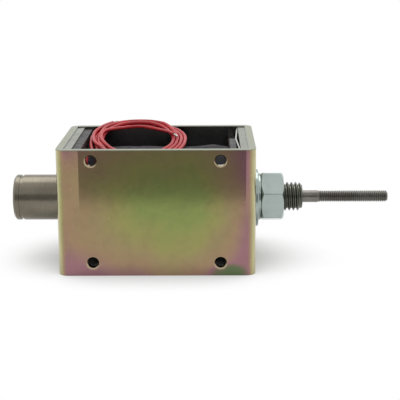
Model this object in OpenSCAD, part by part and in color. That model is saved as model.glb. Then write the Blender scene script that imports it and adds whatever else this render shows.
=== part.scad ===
// Push pull solenoid: a steel box frame, a wound bobbin, a sliding plunger and its push rod.
// The plunger slides along X, and the push rod comes out at +X. +Z is up. All sizes are in mm.
// The origin is the centre of the four tapped holes, on the frame's front face.

/* [Frame] */
// Length of the frame, along the plunger
frame_l = 79; // [70:0.5:90]
// Depth of the frame, from the front face to the back
frame_d = 60.5; // [58:0.5:70]
// Height of the frame
frame_h = 51; // [49:0.5:60]
// Thickness of the frame's walls
wall_t = 3; // [2.5:0.1:3.5]
// Outer radius of the four upright bends
bend_r = 4; // [3.6:0.1:6]
// Edge break along the cut top and bottom edges
edge_break = 0.4; // [0.2:0.1:0.6]
// Thickness of the two pole plates
plate_t = 3; // [2:0.1:3]

/* [Mounting holes] */
// Distance between the tapped holes, along X
hole_pitch_x = 51; // [40:0.5:56]
// Distance between the tapped holes, along Z
hole_pitch_z = 41.4; // [36:0.1:43]
// Minor diameter of the M5 threads
hole_d = 4.2; // [3.3:0.1:5]
// Countersink of each hole, measured across the radius
hole_sink = 0.5; // [0.2:0.1:0.8]
// Height of the holes' centre above the plunger's axis
hole_rise = 0.4; // [0:0.1:1]

/* [Plunger and rod] */
// Diameter of the plunger
plunger_d = 19; // [18:0.1:19]
// How far the plunger stands out of the frame at rest
plunger_out = 20.8; // [19:0.1:24]
// Travel of the plunger
stroke = 15; // [8:0.5:16]
// Diameter of the push rod
rod_d = 5; // [4:0.1:5]
// How far the rod's tip stands out of the frame at rest
rod_out = 56.2; // [50:0.1:60]
// Length of the thread on the rod
rod_thread_l = 29.5; // [20:0.1:32]
// Pitch of the rod's thread
rod_pitch = 0.8; // [0.5:0.1:0.8]

/* [Bush, nut and washers] */
// Outside diameter of the bush's thread
bush_d = 12; // [12:0.1:12.5]
// Pitch of the bush's thread
bush_pitch = 1.75; // [1:0.25:1.75]
// How far the bush stands out of the frame
bush_out = 20.4; // [18:0.1:24]
// Width of the nut across its flats
nut_af = 19; // [18:0.5:22]
// Thickness of the nut
nut_t = 9.5; // [8:0.1:10.8]
// Outside diameter of the flat washer
washer_d = 24; // [24:0.1:30]
// Thickness of the flat washer
washer_t = 1.9; // [1.5:0.1:2.5]
// Outside diameter of the lock washer
lock_d = 19.6; // [18:0.1:20.5]
// Thickness of the lock washer
lock_t = 1; // [0.8:0.1:1.2]

/* [Coil] */
// Diameter over the coil's wrap
wrap_d = 42.4; // [38:0.2:43]
// Thickness of the left flange of the bobbin
left_flange_t = 3.4; // [2:0.1:4]
// Thickness of the right flange of the bobbin
right_flange_t = 2.4; // [2:0.1:3]
// Thickness of the leaf spring
leaf_t = 0.6; // [0.4:0.1:0.8]

/* [Leads] */
// Diameter of one lead
lead_d = 1.5; // [1.2:0.1:1.8]
// Diameter of the coiled leads, at the middle of their turns
loop_d = 35.4; // [34:0.2:36]

/* [Hidden] */
$fn = 96;
eps = 0.01;

// Places along the plunger's axis, from the middle of the frame
half_l = frame_l / 2;
inner_l = half_l - wall_t;
plate_x = inner_l - plate_t;
flange_x = plate_x - 1.6;
coil_left = left_flange_t - plate_x;
coil_right = flange_x - right_flange_t;
inner_d = frame_d / 2 - wall_t;

// Guide sleeve and the bores that it passes
bore_d = plunger_d + 0.1;
sleeve_t = 0.5;
sleeve_d = bore_d + 2 * sleeve_t;
rod_bore_d = rod_d + 0.1;

// Pole faces: a blunt cone on the plunger enters a cup in the fixed core
cup_x = 8;
cup_depth = 8;
cup_mouth_r = 8.5;
cup_floor_r = 4.5;
cone_gap = 0.35;
shim_t = 0.5;
nose_x = cup_x + cup_depth - stroke - shim_t;
plunger_left = -half_l - plunger_out;
pin_d = 2.5;
pin_x = nose_x - 14;
rod_root_x = nose_x - 22;

// Groove near the plunger's outer end
groove_x = 2.4;
groove_w = 1.4;
groove_depth = 0.4;

// Pitch diameters: the bush's thread is drawn at it where the nut is on it, and the rod's all along
bush_mesh_d = bush_d - 0.65 * bush_pitch;
rod_mesh_d = rod_d - 0.65 * rod_pitch;
bush_chamfer = 1.2;
washer_bore = bush_d + 1;
washer_x = half_l + washer_t;
nut_x = washer_x + lock_t;
nut_turn = 17;

// Bobbin
bobbin_wall = 1.2;
barrel_d = sleeve_d + 2 * bobbin_wall + 0.2;
flange_d = 2 * inner_d - 0.9;
flange_h = frame_h - 2;
wrap_t = 0.6;

// Leads: where they leave their sleeves, and the way that each takes up to the loop
exit_r = 24;
exit_angle = 60;
sleeve_od = 2.4;
exit_x = [-28, -23.5];
loop_centre = [-9, 7.5, 24.1];
loop_tilt = 10;
loop_w = 5.6;
loop_h = 2.4;
lead_sides = 8;
function exit_line(x) =
    [for (r = [exit_r, exit_r + 0.8, exit_r + 1.6]) [x, -r * sin(exit_angle), r * cos(exit_angle)]];
route_a = concat(exit_line(exit_x[0]), [[-28, -23.4, 14.7], [-28, -23.6, 17], [-28, -23.1, 19.3],
    [-27.8, -21.5, 21.3], [-27.3, -19, 22.2], [-26.8, -15.5, 21.9], [-26.7, -11, 21.3],
    [-27.3, -6, 21.6], [-28.1, -1, 22.2], [-28.5, 4, 22.9]]);
route_b = concat(exit_line(exit_x[1]), [[-23.5, -23.4, 14.7], [-23.5, -23.6, 17], [-23.5, -23.1, 19.3],
    [-23.5, -21.5, 21.2], [-23.5, -19, 22], [-23.6, -15.5, 21.6], [-24, -11, 20.9],
    [-24.9, -6, 21.5], [-25.9, -1, 22.2], [-26.7, 3.5, 22.9]]);

// Moves its children from the plunger's axis, at the middle of the frame, into the part's own frame
module on_axis() {
    translate([0, frame_d / 2, -hole_rise]) children();
}

// Turns its children from Z to X
module along_x(x = 0) {
    translate([x, 0, 0]) rotate([0, 90, 0]) children();
}

// A disc or ring whose outer edges are broken, standing on Z = 0
module ring(od, id, h, c = 0.3) {
    difference() {
        union() {
            translate([0, 0, c]) cylinder(d = od, h = h - 2 * c);
            cylinder(d1 = od - 2 * c, d2 = od, h = c);
            translate([0, 0, h - c]) cylinder(d1 = od, d2 = od - 2 * c, h = c);
        }
        translate([0, 0, -1]) cylinder(d = id, h = h + 2);
    }
}

// Rounded rectangle about the origin
module rounded(l, d, r) {
    square([l - 2 * r, d], center = true);
    square([l, d - 2 * r], center = true);
    for (x = [-1, 1], y = [-1, 1])
        translate([x * (l / 2 - r), y * (d / 2 - r)]) circle(r);
}

// The four walls, before any hole is made
module box_walls() {
    linear_extrude(frame_h, center = true) difference() {
        rounded(frame_l, frame_d, bend_r);
        rounded(frame_l - 2 * wall_t, frame_d - 2 * wall_t, bend_r - wall_t);
    }
}

// A long prism that breaks one straight top edge of length l, which runs along X through the origin
module edge_cut(l) {
    rotate([45, 0, 0]) cube([l, edge_break * sqrt(2), edge_break * sqrt(2)], center = true);
}

// What is taken off round the top: straight edge breaks, and the drawn-in outer edge of each bend
module rim_cuts() {
    shift = 5;
    for (y = [-1, 1]) translate([0, y * frame_d / 2, frame_h / 2]) edge_cut(frame_l - 2 * bend_r);
    for (x = [-1, 1]) translate([x * half_l, 0, frame_h / 2])
        rotate([0, 0, 90]) edge_cut(frame_d - 2 * bend_r);
    corner_r = bend_r - edge_break;
    reach = sqrt(pow(corner_r + shift, 2) + pow(shift, 2));
    for (x = [0, 1], y = [0, 1]) mirror([x, 0, 0]) mirror([0, y, 0])
        translate([half_l - bend_r, frame_d / 2 - bend_r, frame_h / 2]) intersection() {
            translate([0, 0, -3]) cube([bend_r + 1, bend_r + 1, 4]);
            translate([-shift, -shift, -3]) difference() {
                cylinder(r = reach + 9, h = 4);
                translate([0, 0, -1]) cylinder(r1 = reach + 4, r2 = reach - 1, h = 5);
            }
        }
}

module frame() {
    color("darkkhaki") on_axis() difference() {
        box_walls();
        rim_cuts();
        mirror([0, 0, 1]) rim_cuts();
        along_x(-half_l - 1) cylinder(d = sleeve_d, h = wall_t + 2);
        along_x(inner_l - 1) cylinder(d = bush_d + 0.2, h = wall_t + 2);
        for (x = [-1, 1], z = [-1, 1])
            translate([x * hole_pitch_x / 2, -frame_d / 2, hole_rise + z * hole_pitch_z / 2])
                rotate([-90, 0, 0]) {
                    translate([0, 0, -1]) cylinder(d = hole_d, h = wall_t + 2);
                    translate([0, 0, -eps])
                        cylinder(r1 = hole_d / 2 + hole_sink, r2 = hole_d / 2, h = hole_sink);
                }
    }
}

// A pole plate that stands upright at x, with a round bore
module pole_plate(x, bore) {
    difference() {
        along_x(x) linear_extrude(plate_t)
            rounded(frame_h - 0.8, 2 * inner_d - 2.4, 0.6);
        along_x(x - 1) cylinder(d = bore, h = plate_t + 2);
    }
}

module left_pole_plate() {
    color("darkseagreen") on_axis() pole_plate(-inner_l, sleeve_d);
}

module right_pole_plate() {
    color("silver") on_axis() pole_plate(plate_x, bore_d);
}

// A strip bent in the middle: its ridge bears on the bobbin, and its ends on the right pole plate
module leaf_spring() {
    half = inner_d - 1.2;
    ridge = flange_x;
    ends = plate_x - leaf_t;
    flat = 1.5;
    color("gainsboro") on_axis() difference() {
        linear_extrude(frame_h - 1.6, center = true)
            polygon([[ends, -half], [ridge, -flat], [ridge, flat], [ends, half],
                [ends + leaf_t, half], [ridge + leaf_t, flat], [ridge + leaf_t, -flat],
                [ends + leaf_t, -half]]);
        along_x(flange_x - 2) cylinder(d = sleeve_d + 1.6, h = 6);
    }
}

// One flange of the bobbin, with relieved corners
module flange(x, t) {
    along_x(x) linear_extrude(t) rounded(flange_h, flange_d, 2);
}

module bobbin() {
    color("dimgray") on_axis() difference() {
        union() {
            flange(-plate_x, left_flange_t);
            flange(coil_right, right_flange_t);
            along_x(-plate_x) cylinder(d = barrel_d, h = flange_x + plate_x);
        }
        along_x(-plate_x - 1) cylinder(d = sleeve_d + 0.2, h = flange_x + plate_x + 2);
        // The right flange is cut down behind the place where the winding starts
        translate([coil_right - 1, 1, flange_h / 2 - 4]) cube([right_flange_t + 2, flange_d, 5]);
    }
}

module winding() {
    color("peru") on_axis() along_x(coil_left) difference() {
        cylinder(d = wrap_d - 2 * wrap_t, h = coil_right - coil_left);
        translate([0, 0, -1]) cylinder(d = barrel_d, h = coil_right - coil_left + 2);
    }
}

module coil_wrap() {
    color("black") on_axis() along_x(coil_left) difference() {
        cylinder(d = wrap_d, h = coil_right - coil_left);
        translate([0, 0, -1]) cylinder(d = wrap_d - 2 * wrap_t, h = coil_right - coil_left + 2);
    }
}

module guide_sleeve() {
    color("goldenrod") on_axis() along_x(-half_l) difference() {
        cylinder(d = sleeve_d, h = half_l + plate_x);
        translate([0, 0, -1]) cylinder(d = bore_d, h = half_l + plate_x + 2);
    }
}

// Core, shoulder and threaded bush turned from one bar
module fixed_core() {
    mesh_end = nut_x + nut_t;
    tip = half_l + bush_out;
    color("slategray") on_axis() difference() {
        union() {
            along_x(cup_x) cylinder(d = bore_d, h = inner_l - cup_x);
            along_x(inner_l - eps) cylinder(d = bush_mesh_d, h = mesh_end - inner_l + 2 * eps);
            along_x(mesh_end) cylinder(d = bush_d, h = tip - mesh_end - bush_chamfer);
            along_x(tip - bush_chamfer)
                cylinder(d1 = bush_d, d2 = bush_d - 2 * bush_chamfer, h = bush_chamfer);
        }
        along_x(cup_x - eps) cylinder(r1 = cup_mouth_r, r2 = cup_floor_r, h = cup_depth + eps);
        along_x(cup_x) cylinder(d = rod_bore_d, h = tip);
    }
}

// The washer hangs on the thread, so it sits low by its clearance
module flat_washer() {
    sag = (washer_bore - bush_d) / 2 - 0.05;
    color("lightsteelblue") on_axis() translate([0, 0, -sag]) along_x(half_l)
        ring(washer_d, washer_bore, washer_t);
}

// Internal-tooth lock washer: a rim with teeth that point inwards
module lock_washer() {
    teeth = 9;
    rim_id = lock_d - 4.4;
    color("lightsteelblue") on_axis() along_x(washer_x) {
        ring(lock_d, rim_id, lock_t, 0.15);
        for (i = [0 : teeth - 1]) rotate([0, 0, i * 360 / teeth]) difference() {
            translate([bush_d / 2 + 0.2, -1.2, 0]) cube([2.2, 2.4, lock_t]);
            translate([0, 0, -1]) cylinder(d = bush_d + 0.6, h = lock_t + 2);
        }
    }
}

// Hexagon nut, its corners taken off at both ends by a 30 degree cone
module hex_nut() {
    half_t = nut_t / 2;
    land_r = nut_af / 2 - 0.3;
    wide_r = land_r + half_t / tan(30);
    color("lightsteelblue") on_axis() along_x(nut_x) difference() {
        intersection() {
            rotate([0, 0, nut_turn]) cylinder(d = nut_af / cos(30), h = nut_t, $fn = 6);
            union() {
                cylinder(r1 = land_r, r2 = wide_r, h = half_t);
                translate([0, 0, half_t]) cylinder(r1 = wide_r, r2 = land_r, h = half_t);
            }
        }
        translate([0, 0, -1]) cylinder(d = bush_mesh_d, h = nut_t + 2);
    }
}

// Insulating sleeves over the joints between the winding and the leads
module lead_sleeves() {
    color("black") on_axis() for (x = exit_x)
        translate([x, 0, 0]) rotate([exit_angle, 0, 0]) difference() {
            cylinder(d = sleeve_od, h = exit_r);
            rotate([0, 90, 0]) cylinder(d = wrap_d, h = 10, center = true);
        }
}

// Point number k of a smooth curve through the points p, at the share t of the way to the next one
function smooth(p, k, t) =
    let (n = len(p) - 1, a = p[max(k - 1, 0)], b = p[k], c = p[min(k + 1, n)], d = p[min(k + 2, n)])
    0.5 * (2 * b + (c - a) * t + (2 * a - 5 * b + 4 * c - d) * t * t
        + (3 * b - a - 3 * c + d) * t * t * t);

// Sweeps a tube of diameter d along the points p, with n rings on each stretch between two points
module tube(p, d, n) {
    line = concat([for (k = [0 : len(p) - 2], i = [0 : n - 1]) smooth(p, k, i / n)],
        [p[len(p) - 1]]);
    last = len(line) - 1;
    rings = [for (i = [0 : last])
        let (way = line[min(i + 1, last)] - line[max(i - 1, 0)], t = way / norm(way),
            u = [1, 0, 0] - t * t[0], side = u / norm(u), up = cross(t, side))
        [for (s = [0 : lead_sides - 1])
            line[i] + d / 2 * (cos(s * 360 / lead_sides) * side + sin(s * 360 / lead_sides) * up)]];
    skin = [for (i = [0 : last - 1], s = [0 : lead_sides - 1]) let (e = (s + 1) % lead_sides)
        [i * lead_sides + s, i * lead_sides + e, (i + 1) * lead_sides + e, (i + 1) * lead_sides + s]];
    caps = [[for (s = [lead_sides - 1 : -1 : 0]) s],
        [for (s = [0 : lead_sides - 1]) last * lead_sides + s]];
    polyhedron([for (r = rings, q = r) q], concat(skin, caps));
}

module lead_a() {
    color("crimson") on_axis() tube(route_a, lead_d, 2);
}

module lead_b() {
    color("crimson") on_axis() tube(route_b, lead_d, 2);
}

// Outer shape of the turns that both leads are wound into
module lead_coil() {
    flat = loop_w - loop_h;
    color("crimson") on_axis() translate(loop_centre) rotate([loop_tilt, 0, 0]) rotate_extrude()
        translate([loop_d / 2, 0]) {
            square([flat, loop_h], center = true);
            for (s = [-1, 1]) translate([s * flat / 2, 0]) circle(d = loop_h);
        }
}

// Round bar with a blunt cone at its inner end and a groove near its outer end
module plunger() {
    chamfer = 0.8;
    cone_x = nose_x - cup_depth;
    color("rosybrown") on_axis() difference() {
        union() {
            along_x(plunger_left)
                cylinder(d1 = plunger_d - 2 * chamfer, d2 = plunger_d, h = chamfer);
            along_x(plunger_left + chamfer)
                cylinder(d = plunger_d, h = cone_x - plunger_left - chamfer);
            along_x(cone_x) cylinder(r1 = cup_mouth_r - cone_gap, r2 = cup_floor_r - cone_gap,
                h = cup_depth);
        }
        along_x(plunger_left + groove_x) difference() {
            cylinder(d = plunger_d + 2, h = groove_w);
            translate([0, 0, -1]) cylinder(d = plunger_d - 2 * groove_depth, h = groove_w + 2);
        }
        along_x(plunger_left - eps) cylinder(r1 = 1.5, r2 = 0, h = 1.5);
        along_x(rod_root_x) cylinder(d = rod_d, h = 40);
        translate([pin_x, 0, 0]) cylinder(d = pin_d, h = plunger_d + 2, center = true);
    }
}

// Plain rod, with its thread drawn at the thread's outside diameter
module push_rod() {
    tip = half_l + rod_out;
    thread_x = tip - rod_thread_l;
    runout = 1.5;
    chamfer = 0.6;
    color("dimgray") on_axis() difference() {
        union() {
            along_x(rod_root_x) cylinder(d = rod_d, h = thread_x - rod_root_x);
            along_x(thread_x) cylinder(d1 = rod_d, d2 = rod_mesh_d, h = runout);
            along_x(thread_x + runout) cylinder(d = rod_mesh_d, h = rod_thread_l - runout - chamfer);
            along_x(tip - chamfer)
                cylinder(d1 = rod_mesh_d, d2 = rod_mesh_d - 2 * chamfer, h = chamfer);
        }
        translate([pin_x, 0, 0]) cylinder(d = pin_d, h = rod_d + 2, center = true);
    }
}

module rod_pin() {
    color("silver") on_axis() translate([pin_x, 0, 0])
        cylinder(d = pin_d, h = plunger_d - 1, center = true);
}

module stop_washer() {
    color("gold") on_axis() along_x(nose_x)
        ring(2 * (cup_floor_r - cone_gap), rod_d, shim_t, 0.1);
}

frame();
left_pole_plate();
right_pole_plate();
leaf_spring();
bobbin();
winding();
coil_wrap();
guide_sleeve();
fixed_core();
flat_washer();
lock_washer();
hex_nut();
lead_sleeves();
lead_a();
lead_b();
lead_coil();
plunger();
push_rod();
rod_pin();
stop_washer();
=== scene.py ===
# %% [markdown]
# # A push pull solenoid, dressed for a studio shot
#
# The real object is a bent steel box with a wound coil in it. A round plunger slides in from the
# left, and the thin rod that it pushes comes out on the right, through a threaded bush.
#
# The solid model already gives every rigid piece its place and size. This lesson adds what a
# plain solid lacks: screw threads, the taped coil, the two thin red leads in their loose coil,
# and the finish of each metal. Every new piece is a surface that numpy works out on a grid,
# because a thread or a twisted wire is a formula, and a formula is easier to change than a pile
# of vertices.

import bpy
import numpy as np
from mathutils import Matrix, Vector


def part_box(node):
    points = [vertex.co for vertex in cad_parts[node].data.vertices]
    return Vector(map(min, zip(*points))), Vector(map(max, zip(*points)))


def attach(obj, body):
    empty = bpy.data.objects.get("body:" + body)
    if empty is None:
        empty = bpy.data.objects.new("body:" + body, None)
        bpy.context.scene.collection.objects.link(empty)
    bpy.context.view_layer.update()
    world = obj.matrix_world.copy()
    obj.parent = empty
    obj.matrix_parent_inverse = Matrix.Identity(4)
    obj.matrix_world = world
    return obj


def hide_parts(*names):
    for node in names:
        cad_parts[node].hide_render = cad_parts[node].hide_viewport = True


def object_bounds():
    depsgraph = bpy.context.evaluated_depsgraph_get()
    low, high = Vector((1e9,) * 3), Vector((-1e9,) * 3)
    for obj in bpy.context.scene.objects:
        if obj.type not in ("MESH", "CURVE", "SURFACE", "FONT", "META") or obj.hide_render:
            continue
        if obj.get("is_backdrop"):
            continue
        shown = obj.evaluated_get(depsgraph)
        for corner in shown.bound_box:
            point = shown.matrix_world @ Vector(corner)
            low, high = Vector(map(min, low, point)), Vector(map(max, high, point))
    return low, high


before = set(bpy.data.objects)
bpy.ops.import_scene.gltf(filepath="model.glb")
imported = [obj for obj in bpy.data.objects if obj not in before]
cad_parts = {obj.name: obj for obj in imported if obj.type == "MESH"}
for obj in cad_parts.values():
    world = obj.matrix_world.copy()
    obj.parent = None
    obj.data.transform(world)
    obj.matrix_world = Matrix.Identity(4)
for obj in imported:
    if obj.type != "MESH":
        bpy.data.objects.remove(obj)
cad_low, cad_high = (np.array(c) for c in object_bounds())
MM = 0.001

# %% [markdown]
# ## Where things are
#
# All pieces that turn or slide share one axis, along X. Its place is the middle of the plunger's
# box. Lengths are easier to read in millimetres from that axis, so `place` takes such points and
# gives them in the model's own frame, in metres.

# %% The shared axis
def span(node):
    """Lowest and highest corner of a solid, in metres, as arrays."""
    low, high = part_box(node)
    return np.array(low), np.array(high)


def along(node):
    """Where a solid starts and ends along X, in mm."""
    low, high = span(node)
    return low[0] / MM, high[0] / MM


plunger_low, plunger_high = span("plunger")
AXIS_Y, AXIS_Z = (plunger_low[1:] + plunger_high[1:]) / 2


def place(points):
    """Points in mm, measured from the middle of the axis, as points of the frame in metres."""
    return np.asarray(points, float) * MM + np.array([0, AXIS_Y, AXIS_Z])


print("axis at y, z (mm):", round(AXIS_Y / MM, 2), round(AXIS_Z / MM, 2))

# %% [markdown]
# ## The camera
#
# A long lens from the front and a little above keeps the box's upright edges nearly parallel, as in
# a catalogue. The camera is placed by the point it looks at, a distance and three angles,
# so each of them can be changed by itself.

# %% Camera
def aim_camera(target, distance, turn, rise, roll, lens):
    """Camera at a distance from target, turned about Z, raised and rolled by angles in degrees."""
    turn, rise, roll = np.radians([turn, rise, roll])
    back = np.array([np.sin(turn) * np.cos(rise), -np.cos(turn) * np.cos(rise), np.sin(rise)])
    level = np.array([np.cos(turn), np.sin(turn), 0])
    right = np.cos(roll) * level - np.sin(roll) * np.cross(back, level)
    data = bpy.data.cameras.new("camera")
    data.lens, data.sensor_width = lens, 36
    data.clip_start, data.clip_end = 0.01, 20
    matrix = np.eye(4)
    matrix[:3, :3] = np.column_stack([right, np.cross(back, right), back])
    matrix[:3, 3] = target + back * distance
    camera = bpy.data.objects.new("camera", data)
    camera.matrix_world = Matrix(matrix.tolist())
    bpy.context.scene.collection.objects.link(camera)
    bpy.context.scene.camera = camera
    return camera


camera = aim_camera(place([17.1, 0, -1.5]), 474.8 * MM, 0.48, 13.02, 0.28, 101.43)
print("camera at", [round(v, 3) for v in camera.matrix_world.translation])

# %% [markdown]
# ## From a grid of points to a mesh
#
# A surface with two parameters is a table of points: one row per step of the first parameter, one
# column per step of the second. Each small square of the table becomes a face. A tube or a ring
# closes on itself in one direction or both, and an open end can be capped by one point.

# %% Grid helper
def grid_piece(name, points, close_u=False, close_v=True, caps=False, uv=None, smooth=30):
    """Mesh of a (rows, columns, 3) table of points in metres.

    close_u joins the last row to the first, close_v the last column to the first. caps puts a fan
    on the first and on the last row, from the mean of that row. uv is a (rows, columns, 2) table.
    smooth is the angle in degrees above which an edge stays sharp.
    """
    rows, cols = points.shape[:2]
    index = np.arange(rows * cols).reshape(rows, cols)
    r = np.arange(rows if close_u else rows - 1)
    c = np.arange(cols if close_v else cols - 1)
    a, b = np.meshgrid(r, c, indexing="ij")
    quads = np.stack([
        index[a, b], index[a, (b + 1) % cols],
        index[(a + 1) % rows, (b + 1) % cols], index[(a + 1) % rows, b],
    ], -1).reshape(-1, 4)
    verts, faces = points.reshape(-1, 3), [quads.tolist()]
    if caps:
        start, end = rows * cols, rows * cols + 1
        verts = np.vstack([verts, points[0].mean(0), points[-1].mean(0)])
        ring = np.roll(np.arange(cols), -1)
        faces.append(np.stack([index[0][ring], index[0], np.full(cols, start)], -1).tolist())
        faces.append(np.stack([index[-1], index[-1][ring], np.full(cols, end)], -1).tolist())
    mesh = bpy.data.meshes.new(name)
    mesh.from_pydata(verts.tolist(), [], [f for part in faces for f in part])
    if uv is not None:
        flat = np.vstack([uv.reshape(-1, 2), uv[0].mean(0), uv[-1].mean(0)])
        corner = np.empty(len(mesh.loops), int)
        mesh.loops.foreach_get("vertex_index", corner)
        layer = mesh.uv_layers.new(name="UVMap")
        layer.data.foreach_set("uv", flat[corner].astype(np.float32).ravel())
    mesh.polygons.foreach_set("use_smooth", np.ones(len(mesh.polygons), bool))
    mesh.set_sharp_from_angle(angle=np.radians(smooth))
    mesh.update()
    piece = bpy.data.objects.new(name, mesh)
    bpy.context.scene.collection.objects.link(piece)
    return piece


# %% [markdown]
# ## A path that bends smoothly
#
# A wire takes the shape of a smooth curve through a few points. The same curve through the same
# points is in the solid model, so the wire lies where its solid does. After that the path is cut
# into even steps, so that a ring of the tube sits at each step.

# %% Paths and tubes
def smooth_path(points, per):
    """Catmull-Rom curve: between two points it heads the way that their neighbours lie."""
    p = np.vstack([points[:1], points, points[-1:]])
    t = np.arange(per)[:, None] / per
    a, b, c, d = (p[i:len(p) - 3 + i, None] for i in range(4))
    curve = 0.5 * (2 * b + (c - a) * t + (2 * a - 5 * b + 4 * c - d) * t**2
                   + (3 * b - a - 3 * c + d) * t**3)
    return np.vstack([curve.reshape(-1, 3), points[-1:]])


def even_steps(path, step):
    """The same path with its points a step apart, measured along it."""
    run = np.r_[0, np.cumsum(np.linalg.norm(np.diff(path, axis=0), axis=1))]
    at = np.linspace(0, run[-1], max(int(round(run[-1] / step)), 2) + 1)
    return np.column_stack([np.interp(at, run, path[:, k]) for k in range(3)]), run[-1]


def tube(name, path, radius, sides=14):
    """Tube round a path: each ring lies across the path, on two directions square to it."""
    way = np.gradient(path, axis=0)
    way /= np.linalg.norm(way, axis=1, keepdims=True)
    side = np.cross(way, [0.31, 0.17, 0.94])
    side /= np.linalg.norm(side, axis=1, keepdims=True)
    over = np.cross(way, side)
    turn = np.linspace(0, 2 * np.pi, sides, endpoint=False)[:, None]
    radius = np.broadcast_to(radius, len(path))[:, None, None]
    rings = path[:, None] + radius * (np.cos(turn) * side[:, None] + np.sin(turn) * over[:, None])
    run = np.r_[0, np.cumsum(np.linalg.norm(np.diff(path, axis=0), axis=1))]
    uv = np.stack(np.broadcast_arrays(run[:, None], turn[:, 0][None] / (2 * np.pi)), -1)
    return grid_piece(name, rings, caps=True, uv=uv, smooth=60)

# %% [markdown]
# ## The coil that the leads lie in
#
# Two thin leads come up at the front left corner and are wound by hand into a loose ring that
# lies over the coil and on the back wall. The ring isn't flat: it follows the round coil at the
# front and rises to the wall's top edge at the back. So one function says how high a wire lies at
# each place, another where the ring runs, and each lead is a short list of angle, radius and
# layer.

# %% Course of the ring
LEAD_D = 1.5
COIL_R = 21.3
RING_X, RING_Y = -9.0, 7.5


def rest_height(y):
    """Height of a wire's middle: straight slope behind, round coil under it, flatter in front."""
    lift = COIL_R + LEAD_D / 2
    slope = 0.15
    meet = -slope * lift / np.hypot(1, slope)
    ease = -9.0
    straight = np.sqrt(lift**2 - meet**2) + slope * (y - meet)
    arc = np.sqrt(lift**2 - np.clip(y, ease, 0)**2)
    front = np.sqrt(lift**2 - ease**2) + 0.3 * (y - ease)
    return np.where(y > meet, straight, np.where(y > ease, arc, front))


def ring_course(angle, radius, layer):
    """Half circle behind; a longer, squarer half in front: x and y are powers of cos and sin."""
    c, s = np.cos(np.radians(angle)), np.sin(np.radians(angle))
    power = np.where(s < 0, 0.8, 1.0)
    x = RING_X + radius * np.sign(c) * np.abs(c)**power
    y = RING_Y + np.where(s < 0, 1.18, 1.0) * radius * np.sign(s) * np.abs(s)**power
    return np.column_stack([x, y, rest_height(y) + layer])


def turns(start, end, table, step=10.0):
    """Points of a lead in the ring every step degrees, between the lines of its table."""
    angle = np.arange(start, end - 1e-6, -step)
    table = np.array(table)[::-1]
    return ring_course(angle, *(np.interp(angle, table[:, 0], table[:, k]) for k in (1, 2)))


# %% [markdown]
# ## The leads
#
# Each lead starts straight out of its black sleeve on the coil, runs up behind the front wall and
# joins the ring from the outside. Both go round with the clock. In the front, where the wall hides
# them, the outer pair of turns slips inwards under the last turns, which climb on top. The first
# lead has a little over two turns, the second two and a half, and its tinned end lies on the right.

# %% Routes of the leads
def sleeve_line(x):
    """Three points straight out of a sleeve, which leans 60 degrees forwards from upright."""
    reach = np.array([24, 24.8, 25.6])[:, None]
    lean = np.radians(60)
    return np.hstack([np.full((3, 1), x), reach * [-np.sin(lean), np.cos(lean)]])


rise_a = [[-28, -23.4, 14.7], [-28, -23.6, 17], [-28, -23.1, 19.3], [-27.8, -21.5, 21.3],
          [-27.3, -19, 22.2], [-26.8, -15.5, 21.9], [-26.7, -11, 21.3], [-27.3, -6, 21.6],
          [-28.1, -1, 22.2], [-28.5, 4, 22.9]]
rise_b = [[-23.5, -23.4, 14.7], [-23.5, -23.6, 17], [-23.5, -23.1, 19.3], [-23.5, -21.5, 21.2],
          [-23.5, -19, 22], [-23.6, -15.5, 21.6], [-24, -11, 20.9], [-24.9, -6, 21.5],
          [-25.9, -1, 22.2], [-26.7, 3.5, 22.9]]
ring_a = turns(175, -597, [
    (175, 19.7, 0), (90, 20.6, 0), (20, 19.9, 0), (-70, 19.9, 0), (-120, 16.6, 0.1),
    (-150, 16.3, 1.1), (-180, 16.5, 0.5), (-200, 17.0, 1.0), (-215, 18.0, 1.6), (-240, 19.3, 1.6),
    (-255, 19.7, 1.55), (-285, 19.6, 1.55), (-305, 18.5, 1.7),
    (-325, 17.0, 1.15), (-345, 16.7, 0.15),
    (-360, 16.6, 0), (-415, 16.6, 0), (-440, 16.8, 1.5), (-480, 17.6, 1.6), (-505, 17.9, 1.9),
    (-540, 18.7, 1.5), (-560, 19.3, 1.45), (-575, 19.8, 1.6), (-597, 20.9, 1.7)])
ring_b = turns(175, -716, [
    (175, 18.1, 0), (90, 18.9, 0), (20, 18.3, 0), (-68, 18.3, 0), (-118, 14.9, 0), (-150, 14.7, 0),
    (-180, 15.0, 0), (-200, 15.6, 0.3), (-215, 16.6, 0.7), (-245, 17.9, 1.35), (-270, 18.05, 1.45),
    (-285, 17.9, 1.4), (-305, 16.9, 1.0), (-325, 15.6, 0.4), (-345, 15.0, 0), (-415, 14.9, 0),
    (-440, 15.3, 1.5), (-480, 15.7, 1.6), (-510, 14.8, 1.55), (-540, 15.5, 1.9), (-560, 15.2, 1.95),
    (-575, 15.0, 1.4), (-590, 15.5, 0.7), (-605, 16.3, 0.2), (-630, 16.9, 0.0), (-648, 15.4, 0.1),
    (-662, 14.1, 0.35), (-680, 13.4, 0.8), (-700, 13.8, 1.4), (-716, 15.3, 1.65)])
leads = {
    "a": np.vstack([sleeve_line(-28.0), rise_a, ring_a]),
    "b": np.vstack([sleeve_line(-23.5), rise_b, ring_b]),
}

# %% [markdown]
# ## Wire and tinned ends
#
# The insulation is a plain tube. Its end is cut square, and a short twist of tinned strands stands
# out of it. The twist is one surface: a round bar with seven bulges that turn as they go along.

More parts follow.
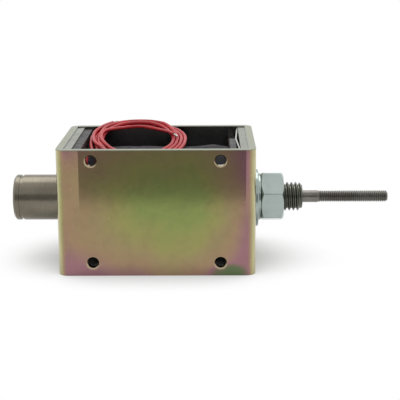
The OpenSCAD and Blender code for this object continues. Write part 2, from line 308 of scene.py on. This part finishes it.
# %% Lead pieces
def twisted_end(name, start, way, length):
    """Bar with seven bulges: radius follows |cos| of 3.5 times the angle, turned with length."""
    way = way / np.linalg.norm(way)
    side = np.cross(way, [0, 0, 1])
    side /= np.linalg.norm(side)
    over = np.cross(way, side)
    run = np.linspace(0, 1, 40)[:, None]
    turn = np.linspace(0, 2 * np.pi, 56, endpoint=False)[None]
    bulge = np.abs(np.cos(3.5 * (turn - 2.6 * run)))
    taper = np.sqrt(np.clip(1 - (np.clip(run - 0.9, 0, 1) / 0.101)**2, 0.01, 1))
    radius = (0.34 + 0.11 * bulge) * taper * (1 - 0.12 * run)
    ring = radius[..., None] * (np.cos(turn)[..., None] * side + np.sin(turn)[..., None] * over)
    bend = 0.35 * run**2 * np.array([0, 0, -1.0])
    strands = start + run[..., None] * length * way + bend[:, None] + ring
    return grid_piece(name, place(strands), caps=True)


lead_pieces, tips, lead_lengths = {}, {}, {}
for key, route in leads.items():
    path, length = even_steps(smooth_path(route, 8), 0.45)
    print(f"lead_{key}: {length:.0f} mm, {len(route)} points")
    lead_pieces[key] = tube(f"lead_wire_{key}", place(path), LEAD_D / 2 * MM)
    lead_lengths[key] = length * MM
    heading = path[-1] - path[-4]
    tips[key] = twisted_end(f"tinned_end_{key}", path[-1] - 0.05 * heading, heading, 3.4)
    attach(lead_pieces[key], "housing")
    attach(tips[key], "housing")
    leads[key] = place(path)

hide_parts("lead_a", "lead_coil")
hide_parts("lead_b")

# %% [markdown]
# ## Turned pieces and their threads
#
# A turned piece is an outline carried round the axis. A thread is the same, with a groove that
# moves along by one pitch in each turn: at every point the phase is the length along the axis over
# the pitch, less the share of the turn. The phase alone says how deep the groove is there.

# %% Turning helper
def groove(x, turn, pitch, depth):
    """Depth of a V groove: none on the crest, sloping over the flanks, full on the flat root."""
    phase = (x / pitch - turn / (2 * np.pi)) % 1
    away = np.abs(phase - 0.5) * 2
    share = np.clip((away - 0.14) / 0.64, 0, 1)
    return depth * (0.35 * share * share * (3 - 2 * share) + 0.65 * share)


def turned(name, outline, sides=96, thread=None, closed=False, smooth=30):
    """Outline of (x, radius) rows in mm carried round the axis. thread(x, turn) is cut off it."""
    outline = np.asarray(outline, float)
    turn = np.linspace(0, 2 * np.pi, sides, endpoint=False)[None]
    x = np.broadcast_to(outline[:, :1], (len(outline), sides))
    radius = np.broadcast_to(outline[:, 1:], x.shape)
    if thread is not None:
        radius = radius - thread(x, turn) * (outline[:, 1:] > thread.root)
        radius = np.maximum(radius, np.minimum(outline[:, 1:], thread.root))
    points = place(np.stack([x, radius * np.cos(turn), radius * np.sin(turn)], -1))
    return grid_piece(name, points, close_u=closed, caps=not closed, smooth=smooth)


def rows(x0, x1, r0, r1, step):
    """Even rows from one (x, radius) to another, without the last."""
    count = max(int(abs(x1 - x0) / step), 1)
    t = np.arange(count)[:, None] / count
    return np.array([x0, r0]) * (1 - t) + np.array([x1, r1]) * t

# %% [markdown]
# ## Bush, rod and nut
#
# The fixed core ends in the bush, with an M12 thread. The rod has an M5 thread up to its tip. Both
# replace their plain solids, whose cylinders would fill the grooves. The outlines keep the solids'
# own ends and radii. A chamfer at a thread's start is a straight cone that the crests can't pass.

# %% Fixed core with its bush
class Cut:
    """A thread's groove between two places along X, shallower towards its ends."""

    def __init__(self, start, end, pitch, depth, root, fade=(0.0, 0.0)):
        self.start, self.end, self.pitch, self.depth = start, end, pitch, depth
        self.root, self.fade = root, fade

    def __call__(self, x, turn):
        ease = np.clip((x - self.start) / (self.fade[0] + 1e-6), 0, 1)
        ease = ease * np.clip((self.end - x) / (self.fade[1] + 1e-6), 0, 1)
        return groove(x, turn, self.pitch, self.depth) * ease


core_left, bush_end = along("fixed_core")
core_low, core_high = span("fixed_core")
core_r = (core_high[2] - core_low[2]) / MM / 2
plate_right = along("right_pole_plate")[1]
ROD_BORE_R, BUSH_R = 2.55, 6.0
bush_thread = Cut(plate_right + 1, bush_end, 1.75, 1.05, BUSH_R - 1.05)
outline = np.vstack([
    rows(core_left + 8, core_left, 4.5, 8.5, 1), rows(core_left, core_left, 8.5, core_r, 1),
    rows(core_left, plate_right, core_r, core_r, 4), [[plate_right, core_r]],
    rows(plate_right, bush_end - 1.2, BUSH_R, BUSH_R, 0.07),
    rows(bush_end - 1.2, bush_end, BUSH_R, 4.7, 0.07), [[bush_end, 4.7]],
    rows(bush_end, bush_end, 4.0, 3.3, 1), [[bush_end, 3.0], [bush_end - 0.45, ROD_BORE_R]],
    rows(bush_end - 1, core_left + 8, ROD_BORE_R, ROD_BORE_R, 6), [[core_left + 8, ROD_BORE_R]],
])
core_piece = turned("core_and_bush", outline, 144, bush_thread, closed=True)
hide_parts("fixed_core")
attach(core_piece, "housing")
print("bush ends at", round(bush_end, 2), "mm")

# %% Push rod
rod_left, rod_tip = along("push_rod")
ROD_R, ROD_THREAD = 2.5, 29.5
rod_thread = Cut(rod_tip - ROD_THREAD, rod_tip, 0.8, 0.46, ROD_R - 0.5, fade=(1.6, 0))
thread_from = rod_tip - ROD_THREAD
outline = np.vstack([
    [[rod_left, 0.6]], rows(rod_left, thread_from, ROD_R, ROD_R, 6),
    rows(thread_from, thread_from + 0.8, ROD_R, ROD_R - 0.06, 0.05),
    rows(thread_from + 0.8, rod_tip - 0.7, ROD_R - 0.06, ROD_R - 0.06, 0.05),
    rows(rod_tip - 0.7, rod_tip, ROD_R - 0.06, 1.75, 0.05), [[rod_tip, 1.75], [rod_tip, 0.6]],
])
rod_piece = turned("threaded_rod", outline, 64, rod_thread)
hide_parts("push_rod")
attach(rod_piece, "plunger")

# %% [markdown]
# The nut is a hexagon whose corners a 30 degree cone has taken off at both ends. Seen from the
# axis, its radius is the smallest of three: the hexagon's, and the two cones'. A soft minimum of
# the three, which is a sum of high powers, gives the same shape with slightly rounded edges, and
# those catch the light as the real ones do.

# %% Hexagon nut
def soft_least(values, power):
    """Smallest of several radii, blended where two are nearly equal: sum of r^-p, to the -1/p."""
    scale = values[0]
    return scale * sum((scale / v)**power for v in values)**(-1 / power)


nut_left, nut_right = along("hex_nut")
FLAT_R, NUT_TURN = 9.5, 12.5
turn = np.linspace(0, 2 * np.pi, 360, endpoint=False)[None]
from_face = np.cumsum(np.r_[0, np.linspace(0.02, 0.3, 16)])
from_face = from_face[from_face < (nut_right - nut_left) / 2]
x = np.r_[nut_left + from_face, (nut_right - from_face)[::-1]][:, None]
corner = np.radians(NUT_TURN)
sides = [np.cos(turn - corner - np.radians(30 + 60 * k)) for k in range(6)]
hexagon = soft_least([FLAT_R / np.clip(side, 0.3, 1) for side in sides], 90)
cone = (FLAT_R - 0.3 + (x - nut_left) / np.tan(np.radians(30)),
        FLAT_R - 0.3 + (nut_right - x) / np.tan(np.radians(30)))
radius = soft_least([hexagon + 0 * x, cone[0] + 0 * turn, cone[1] + 0 * turn], 110)
x = np.r_[[[nut_left], [nut_left]], x,
          [[nut_right], [nut_right], [nut_right - 0.7], [nut_left + 0.7]]]
inner = np.array([5.6, 6.2, 6.3, 5.6, 5.6])[:, None] + 0 * turn
radius = np.vstack([inner[:2], radius, inner[2:3], inner[2:3], inner[3:]])
x = x + 0 * turn
# the corner angle counts from +Z towards -Y, as the solid's does
points = place(np.stack([x, -radius * np.sin(turn), radius * np.cos(turn)], -1))
nut_piece = grid_piece("chamfered_nut", points, close_u=True, smooth=35)
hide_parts("hex_nut")
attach(nut_piece, "housing")

# %% [markdown]
# ## The taped coil
#
# The winding is wrapped in black cloth tape, wound on the slant with each turn half over the last.
# A plain cylinder would shine in one even line. The real tape has steps at its edges, creases, a
# slightly slack surface and a bulge near the right flange, where the inner end of the wire comes
# out. All of these are small changes of radius, as sums of waves of the length and the angle.

# %% Tape over the coil
def waves(u, v, seed, count=9, low=2, high=9):
    """Sum of a few waves with fixed random directions and phases, from -1 to 1 or so."""
    pick = np.random.default_rng(seed)
    total = 0
    for _ in range(count):
        fu, fv = pick.uniform(low, high), pick.integers(1, 7)
        total = total + np.sin(fu * u + fv * v + pick.uniform(0, 2 * np.pi))
    return total / count


wrap_left, wrap_right = along("coil_wrap")
wrap_low, wrap_high = span("coil_wrap")
wrap_r = (wrap_high[2] - wrap_low[2]) / MM / 2
turn = np.linspace(0, 2 * np.pi, 300, endpoint=False)[None]
x = np.linspace(wrap_left, wrap_right, 260)[:, None]
share = (x - wrap_left) / (wrap_right - wrap_left)
phase = (x / 9.5 - turn / (2 * np.pi)) % 1
step_edge = 0.12 * (1 - phase) * np.clip(phase / 0.03, 0, 1)
slack = 0.16 * waves(share * 6, turn, 3) + 0.05 * waves(share * 22, turn * 2, 5, low=1, high=4)
top = np.clip(np.sin(turn), 0, 1)
bulge = 0.85 * np.exp(-((x - 22.3) / 4.2)**2) * top**4
crown = 0.25 * np.exp(-((x + 9) / 11)**4) * top**2
end = 0.5 * (np.exp(-(x - wrap_left) / 0.7) + np.exp((x - wrap_right) / 0.7))
radius = wrap_r - 0.2 + step_edge + slack + bulge + crown - end
inner = np.full((2, 1), wrap_r - 0.62) + 0 * turn
radius = np.vstack([radius, inner])
x = np.vstack([x, [[wrap_right], [wrap_left]]]) + 0 * turn
points = place(np.stack([x, radius * np.cos(turn), radius * np.sin(turn)], -1))
tape_piece = grid_piece("tape_wrap", points, close_u=True, smooth=50)
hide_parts("coil_wrap")
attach(tape_piece, "housing")
print("tape radius from", radius.min().round(2), "to", radius.max().round(2), "mm")

# %% [markdown]
# ## Finishes
#
# Each finish is a few nodes on one Principled shader: a pattern that varies the colour, one that
# varies the roughness, and one that lifts or sinks the surface. A small class keeps the writing
# short: it makes a node, sets its inputs and gives back the output that is wanted.

# %% Material helper
class Finish:
    """A material being built. Its methods make nodes and give back their output sockets."""

    def __init__(self, name, **shader):
        self.material = bpy.data.materials.new(name)
        self.material.use_nodes = True
        self.tree = self.material.node_tree
        self.shader = self.tree.nodes["Principled BSDF"]
        for key, value in shader.items():
            socket = key.replace("_", " ").title().replace("Ior", "IOR")
            self.shader.inputs[socket].default_value = value
        self.spot = self.node("ShaderNodeTexCoord").outputs["Object"]

    def node(self, kind, inputs=None, **settings):
        made = self.tree.nodes.new(kind)
        for key, value in settings.items():
            setattr(made, key, value)
        for key, value in (inputs or {}).items():
            socket = made.inputs[key]
            if isinstance(value, bpy.types.NodeSocket):
                self.tree.links.new(value, socket)
            else:
                socket.default_value = value
        return made

    def math(self, operation, a, b=0.0, clamp=False):
        made = self.node("ShaderNodeMath", {0: a, 1: b}, operation=operation, use_clamp=clamp)
        return made.outputs[0]

    def moved(self, centre=(0, 0, 0), scale=(1, 1, 1), source=None):
        """Object coordinates counted from a centre and scaled along each axis."""
        shifted = self.node("ShaderNodeVectorMath", {0: source or self.spot, 1: centre},
                            operation="SUBTRACT").outputs[0]
        return self.node("ShaderNodeVectorMath", {0: shifted, 1: scale},
                         operation="MULTIPLY").outputs[0]

    def parts(self, vector):
        return self.node("ShaderNodeSeparateXYZ", {0: vector}).outputs

    def noise(self, scale, detail=3.0, rough=0.5, stretch=(1, 1, 1), warp=0.0):
        return self.node("ShaderNodeTexNoise", {
            "Vector": self.moved(scale=stretch), "Scale": scale, "Detail": detail,
            "Roughness": rough, "Distortion": warp}).outputs["Fac"]

    def fit(self, value, low, high, to_low=0.0, to_high=1.0, smooth=True):
        return self.node("ShaderNodeMapRange", {
            "Value": value, "From Min": low, "From Max": high, "To Min": to_low, "To Max": to_high,
        }, interpolation_type="SMOOTHSTEP" if smooth else "LINEAR").outputs["Result"]

    def blend(self, share, a, b, kind="MIX"):
        """Colour a, with colour b laid over it by the share."""
        made = self.node("ShaderNodeMix", data_type="RGBA", blend_type=kind)
        for socket, value in ((made.inputs[0], share), (made.inputs[6], a), (made.inputs[7], b)):
            if isinstance(value, bpy.types.NodeSocket):
                self.tree.links.new(value, socket)
            else:
                socket.default_value = value
        return made.outputs[2]

    def colour(self, value):
        self.tree.links.new(value, self.shader.inputs["Base Color"])

    def roughness(self, value):
        self.tree.links.new(value, self.shader.inputs["Roughness"])

    def bump(self, height, distance, strength=1.0):
        """Lifts the surface by a height of 0 to 1 times a distance in metres."""
        made = self.node("ShaderNodeBump", {"Height": height, "Distance": distance,
                                            "Strength": strength})
        self.tree.links.new(made.outputs[0], self.shader.inputs["Normal"])

    def put_on(self, *pieces):
        """Gives the finish to new pieces, or to solids by name."""
        for piece in pieces:
            data = (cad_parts[piece] if isinstance(piece, str) else piece).data
            data.materials.clear()
            data.materials.append(self.material)


def rgb(red, green, blue):
    """A colour as it looks on a screen, 0 to 255, as the linear colour that a shader takes."""
    c = np.array([red, green, blue]) / 255
    linear = np.where(c <= 0.04045, c / 12.92, ((c + 0.055) / 1.055)**2.4)
    return (*linear.tolist(), 1.0)

# %% [markdown]
# ## Yellow zinc on the frame
#
# Passivated zinc carries a film so thin that it colours the light: green, straw, pink and violet
# follow each other as the film gets thicker. On a dipped box the film is thinnest in the middle
# of a face and thickest near its bends and its lower edge, where the bath drains off. So the
# finish first works out a thickness from the place on the box, and then reads the colour from a
# ramp.

# %% Frame finish
def ramp(finish, value, stops):
    """Colour ramp of (place, colour) pairs."""
    made = finish.node("ShaderNodeValToRGB", {"Fac": value})
    table = made.color_ramp
    while len(table.elements) < len(stops):
        table.elements.new(0.5)
    for element, (at, colour) in zip(table.elements, stops):
        element.position, element.color = at, colour
    return made.outputs["Color"]


yellow = Finish("yellow_zinc", metallic=1.0)
x, y, z = yellow.parts(yellow.moved((0, AXIS_Y, AXIS_Z), (1000, 1000, 1000)))
out_x, out_y = (yellow.math("ABSOLUTE", v) for v in (x, y))


def distance(finish, a, b):
    """Length of the vector (a, b): the square root of a squared plus b squared."""
    both = finish.node("ShaderNodeCombineXYZ", {0: a, 1: b}).outputs[0]
    return finish.node("ShaderNodeVectorMath", {0: both}, operation="LENGTH").outputs["Value"]


def grown(finish, value, start, reach, power, share):
    """A share that grows from nothing at start as a power of the distance over the reach."""
    over = finish.math("DIVIDE", finish.math("SUBTRACT", value, start), reach, clamp=False)
    rise = finish.math("POWER", finish.math("MAXIMUM", over, 0.0), power)
    return finish.math("MULTIPLY", rise, share)


thick = grown(yellow, x, 3.0, 30.0, 2.6, 0.68)
for value, start, reach, power, share in (
        (yellow.math("MULTIPLY", x, -1.0), -2.0, 34.0, 1.3, 0.50),
        (yellow.math("MULTIPLY", z, -1.0), 2.0, 22.0, 2.0, 0.58), (z, 6.0, 20.0, 1.6, 0.34)):
    thick = yellow.math("ADD", thick, grown(yellow, value, start, reach, power, share))
drift = yellow.noise(30, 3.0, 0.5, (1, 1, 1.3), 0.7)
thick = yellow.math("ADD", thick, yellow.fit(drift, 0.3, 0.7, -0.15, 0.11, smooth=False))
thick = yellow.math("MINIMUM", thick, 0.95)
thick = yellow.math("SUBTRACT", thick, yellow.fit(out_x, 35.8, 38.6, 0, 0.6))
corner = distance(yellow, yellow.math("DIVIDE", yellow.math("SUBTRACT", x, 28.5), 9.0),
                  yellow.math("DIVIDE", yellow.math("ADD", z, 24.5), 4.6))
thick = yellow.math("ADD", thick, yellow.fit(corner, 0.5, 1.1, 0.45, 0))
tint = ramp(yellow, yellow.math("DIVIDE", thick, 1.5), [
    (0.0, rgb(134, 146, 86)), (0.12, rgb(148, 145, 91)), (0.26, rgb(152, 136, 99)),
    (0.42, rgb(156, 130, 103)), (0.54, rgb(154, 120, 112)), (0.64, rgb(150, 110, 117)),
    (0.80, rgb(124, 112, 96)), (0.93, rgb(98, 112, 80))])
# Painted reflection: the rounded bends at both sides are blended to a pale colour, standing in for
# the bright room that their curve would mirror.
tint = yellow.blend(yellow.fit(out_x, 36.8, 39.0), tint, rgb(190, 184, 142))
sheared = yellow.fit(z, 25.1, 25.3)
tint = yellow.blend(sheared, tint, rgb(148, 152, 130))
HOLE_X, HOLE_Z, HOLE_RISE = 25.5, 20.7, 0.4
beside = yellow.math("SUBTRACT", out_x, HOLE_X)
above = yellow.math("ABSOLUTE", yellow.math("SUBTRACT", z, HOLE_RISE))
to_hole = distance(yellow, beside, yellow.math("SUBTRACT", above, HOLE_Z))
tint = yellow.blend(yellow.fit(to_hole, 2.5, 2.9, 0.75, 0), tint, rgb(178, 164, 134))
stain = yellow.fit(yellow.noise(150, 5.0, 0.65), 0.4, 0.75, 0, 0.16)
tint = yellow.blend(stain, tint, rgb(96, 84, 74))
scuff = yellow.fit(yellow.noise(1100, 1.0, 0.3), 0.76, 0.82, 0, 0.5)
tint = yellow.blend(scuff, tint, rgb(205, 200, 176))
# Painted shade: the inner faces of the walls take a neutral grey in place of the yellow film, tuned
# to how the shaded inside of the box looks.
shaded_inner_faces = yellow.math("MULTIPLY", yellow.fit(out_y, 27.6, 28.0, 1, 0),
                     yellow.fit(out_x, 36.7, 37.1, 1, 0))
tint = yellow.blend(yellow.math("MULTIPLY", shaded_inner_faces, 0.85), tint, rgb(142, 144, 140))
yellow.colour(tint)
grain = yellow.fit(yellow.noise(420, 5.0, 0.65), 0.3, 0.7, 0.12, 0.18, smooth=False)
yellow.roughness(yellow.math("ADD", grain, yellow.math("MULTIPLY", sheared, 0.2)))

# The sheet isn't dead flat: it ripples a little, and on the left it already leans back before
# the bend. Heights are in tenths of a millimetre.
past_bend = yellow.math("MAXIMUM", yellow.math("SUBTRACT", -30.3, x), 0.0)
leaning = yellow.math("MULTIPLY", past_bend, -0.7)
ripple = yellow.math("MULTIPLY", yellow.noise(75, 2.0, 0.5), 0.22)
fine = yellow.math("MULTIPLY", yellow.noise(700, 4.0, 0.6), 0.04)
yellow.bump(yellow.math("ADD", leaning, yellow.math("ADD", ripple, fine)), 0.0001)
yellow.put_on("frame")

# %% [markdown]
# ## Other metals
#
# The plates and small parts are plain zinc, each with its own tone. Turned pieces carry fine rings
# from the tool: waves along X that break up a highlight into a stripe.

# %% Plates, washers, nut, plunger, rod
def plain_metal(name, colour, dark, rough=(0.25, 0.4), rings=0.0, grain=400.0, depth=0.00002):
    """A metal with a blotchy tone, a grain, and rings across X when it was turned."""
    made = Finish(name, metallic=1.0)
    blotch = made.fit(made.noise(90, 5.0, 0.6), 0.35, 0.75)
    tone = made.blend(blotch, rgb(*colour), rgb(*dark))
    fine = made.noise(grain, 4.0, 0.6)
    height = fine
    if rings:
        lay = made.noise(rings, 2.0, 0.7, stretch=(1, 0.004, 0.004))
        height = made.math("MULTIPLY_ADD", lay, 1.0)
        made.tree.links.new(made.math("MULTIPLY", fine, 0.3), height.node.inputs[2])
        tone = made.blend(made.fit(lay, 0.35, 0.7, 0, 0.35), tone, rgb(*dark))
    made.colour(tone)
    made.roughness(made.fit(fine, 0.3, 0.7, *rough, smooth=False))
    made.bump(height, depth, 0.6)
    return made


pale = plain_metal("pale_zinc", (148, 151, 141), (130, 133, 124), (0.34, 0.5), depth=0.00005)
pale.put_on("left_pole_plate", "right_pole_plate")
white = plain_metal("white_zinc", (168, 179, 175), (156, 166, 162), (0.14, 0.24))
white.put_on("flat_washer", "lock_washer", nut_piece)
grey = plain_metal("grey_steel", (112, 114, 104), (92, 94, 86), (0.26, 0.4))
grey.put_on(core_piece)
lathe = plain_metal("turned_steel", (126, 120, 107), (112, 106, 94), (0.2, 0.32), rings=5200)
lathe.put_on("plunger")
drawn = plain_metal("rod_steel", (126, 123, 118), (108, 104, 99), (0.22, 0.34))
drawn.put_on(rod_piece, "rod_pin", "stop_washer")
spring = plain_metal("spring_steel", (176, 177, 172), (150, 150, 145), (0.2, 0.34))
spring.put_on("leaf_spring")
brass = plain_metal("brass", (176, 150, 96), (146, 120, 74), (0.26, 0.4))
brass.put_on("guide_sleeve")
copper = plain_metal("copper", (164, 104, 66), (134, 76, 46), (0.25, 0.35))
copper.put_on("winding")

# %% [markdown]
# ## Plastics
#
# The bobbin is moulded nylon, the tape a glossy cloth, the leads a smooth red insulation.

# %% Bobbin, tape, sleeves and insulation
nylon = Finish("nylon", specular_ior_level=0.3)
nylon.colour(nylon.blend(nylon.fit(nylon.noise(90, 4), 0.3, 0.7), rgb(62, 61, 60), rgb(46, 45, 45)))
nylon.roughness(nylon.fit(nylon.noise(600, 4), 0.3, 0.7, 0.42, 0.6))
nylon.bump(nylon.noise(700, 4), 0.00003, 0.5)
nylon.put_on("bobbin")

tape = Finish("black_tape", specular_ior_level=0.15)
tape.colour(tape.blend(tape.fit(tape.noise(60, 3), 0.4, 0.7), rgb(36, 36, 42), rgb(52, 48, 56)))
tape.roughness(tape.fit(tape.noise(500, 4), 0.3, 0.7, 0.5, 0.68))
tape.bump(tape.noise(420, 4), 0.00004, 0.5)
tape.put_on(tape_piece)

sleeving = Finish("black_sleeving", specular_ior_level=0.4)
sleeving.colour(sleeving.blend(sleeving.noise(200), rgb(34, 34, 34), rgb(48, 46, 46)))
sleeving.roughness(sleeving.fit(sleeving.noise(900), 0.3, 0.7, 0.45, 0.65))
sleeving.put_on("lead_sleeves")

red = Finish("red_insulation", specular_ior_level=0.5)
red.colour(red.blend(red.fit(red.noise(150, 4), 0.35, 0.7), rgb(204, 44, 52), rgb(180, 34, 44)))
red.roughness(red.fit(red.noise(900, 4), 0.3, 0.7, 0.26, 0.4))
red.bump(red.noise(350, 2), 0.00002, 0.3)
red.put_on(lead_pieces["a"], lead_pieces["b"], "lead_a", "lead_b", "lead_coil")

tinned = plain_metal("tinned_copper", (200, 196, 188), (150, 146, 140), (0.2, 0.32))
tinned.put_on(tips["a"], tips["b"])

# %% [markdown]
# ## Floor, room and lamps
#
# Metal shows the room around it, so the room is part of the finish. The floor and the world are
# white to the camera and to reflections, and softly lit otherwise. Where something stands close
# over the floor, ambient occlusion darkens it, which gives the shadow under and inside the box.

# %% Floor and world
def white_to_the_eye(tree):
    """1 for rays from the camera, a reflection or a clear material, and 0 for the rest."""
    path = tree.nodes.new("ShaderNodeLightPath")
    found = path.outputs["Is Camera Ray"]
    for ray in ("Is Glossy Ray", "Is Transmission Ray"):
        larger = tree.nodes.new("ShaderNodeMath")
        larger.operation = "MAXIMUM"
        tree.links.new(found, larger.inputs[0])
        tree.links.new(path.outputs[ray], larger.inputs[1])
        found = larger.outputs[0]
    return found


def flat_piece(name, corners):
    """Four-sided piece that is part of the studio and not of the object."""
    mesh = bpy.data.meshes.new(name)
    mesh.from_pydata(np.asarray(corners, float).tolist(), [], [(0, 1, 2, 3)])
    made = bpy.data.objects.new(name, mesh)
    bpy.context.scene.collection.objects.link(made)
    look = bpy.data.materials.new(name)
    look.use_nodes = True
    look.node_tree.nodes.clear()
    mesh.materials.append(look)
    made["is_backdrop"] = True
    return made, look.node_tree


floor_z = cad_low[2]
corners = [(-6, -6, floor_z), (6, -6, floor_z), (6, 6, floor_z), (-6, 6, floor_z)]
tree = flat_piece("floor", corners)[1]
near_by = tree.nodes.new("ShaderNodeAmbientOcclusion")
near_by.inputs["Distance"].default_value = 0.035
open_share = tree.nodes.new("ShaderNodeMapRange")
open_share.inputs["From Min"].default_value = 0.12
open_share.inputs["From Max"].default_value = 0.85
tree.links.new(near_by.outputs["AO"], open_share.inputs["Value"])
share = tree.nodes.new("ShaderNodeMath")
share.operation = "MULTIPLY"
tree.links.new(white_to_the_eye(tree), share.inputs[0])
tree.links.new(open_share.outputs[0], share.inputs[1])
paper = tree.nodes.new("ShaderNodeBsdfDiffuse")
paper.inputs["Color"].default_value = (0.62, 0.62, 0.62, 1)
glow = tree.nodes.new("ShaderNodeEmission")
mix = tree.nodes.new("ShaderNodeMixShader")
tree.links.new(share.outputs[0], mix.inputs[0])
tree.links.new(paper.outputs[0], mix.inputs[1])
tree.links.new(glow.outputs[0], mix.inputs[2])
tree.links.new(mix.outputs[0], tree.nodes.new("ShaderNodeOutputMaterial").inputs[0])

world = bpy.data.worlds.new("studio")
world.use_nodes = True
bpy.context.scene.world = world
tree = world.node_tree
level = tree.nodes.new("ShaderNodeMapRange")
level.inputs["To Min"].default_value = 0.6
tree.links.new(white_to_the_eye(tree), level.inputs["Value"])
tree.links.new(level.outputs[0], tree.nodes["Background"].inputs["Strength"])
tree.nodes["Background"].inputs["Color"].default_value = (1, 1, 1, 1)

# %% [markdown]
# ## Cards and lamp
#
# In an all white room bright metal looks like plaster. So a dark card lies on the floor before the
# box and another stands beyond it, where the camera doesn't look. The flat front mirrors the floor
# card in its upper half, and the round pieces show the standing one as a dark stripe. A softbox
# hangs above and a little behind, and a paler screen leans over the front.

# %% Cards and softbox
def card(name, corners, tone):
    """A card that only reflections see, with one even tone from 0, black, to 1, white."""
    made, tree = flat_piece(name, corners * MM + [0, AXIS_Y, floor_z])
    glow = tree.nodes.new("ShaderNodeEmission")
    glow.inputs["Strength"].default_value = tone
    tree.links.new(glow.outputs[0], tree.nodes.new("ShaderNodeOutputMaterial").inputs[0])
    made.visible_camera = made.visible_diffuse = made.visible_shadow = False
    made.visible_transmission = made.visible_volume_scatter = False


card("floor_card",
     np.array([[-56, -160, 0.6], [50, -160, 0.6], [95, -600, 0.6], [-150, -600, 0.6]]), 0.37)
card("standing_card",
     np.array([[-700, -330, 1], [700, -330, 1], [700, -900, 480], [-700, -900, 480]]), 0.36)
card("front_screen",
     np.array([[-900, -902, 482], [900, -902, 482], [900, -500, 1100], [-900, -500, 1100]]), 0.8)

data = bpy.data.lights.new("softbox", "AREA")
data.shape, data.size, data.size_y, data.energy = "RECTANGLE", 0.9, 0.55, 2.6
lamp = bpy.data.objects.new("softbox", data)
lamp.location = (0.05, AXIS_Y + 0.33, floor_z + 0.75)
lamp.rotation_euler = (-0.4, 0, 0)
bpy.context.scene.collection.objects.link(lamp)

# %% Last steps
bpy.context.scene.view_settings.view_transform = "Standard"
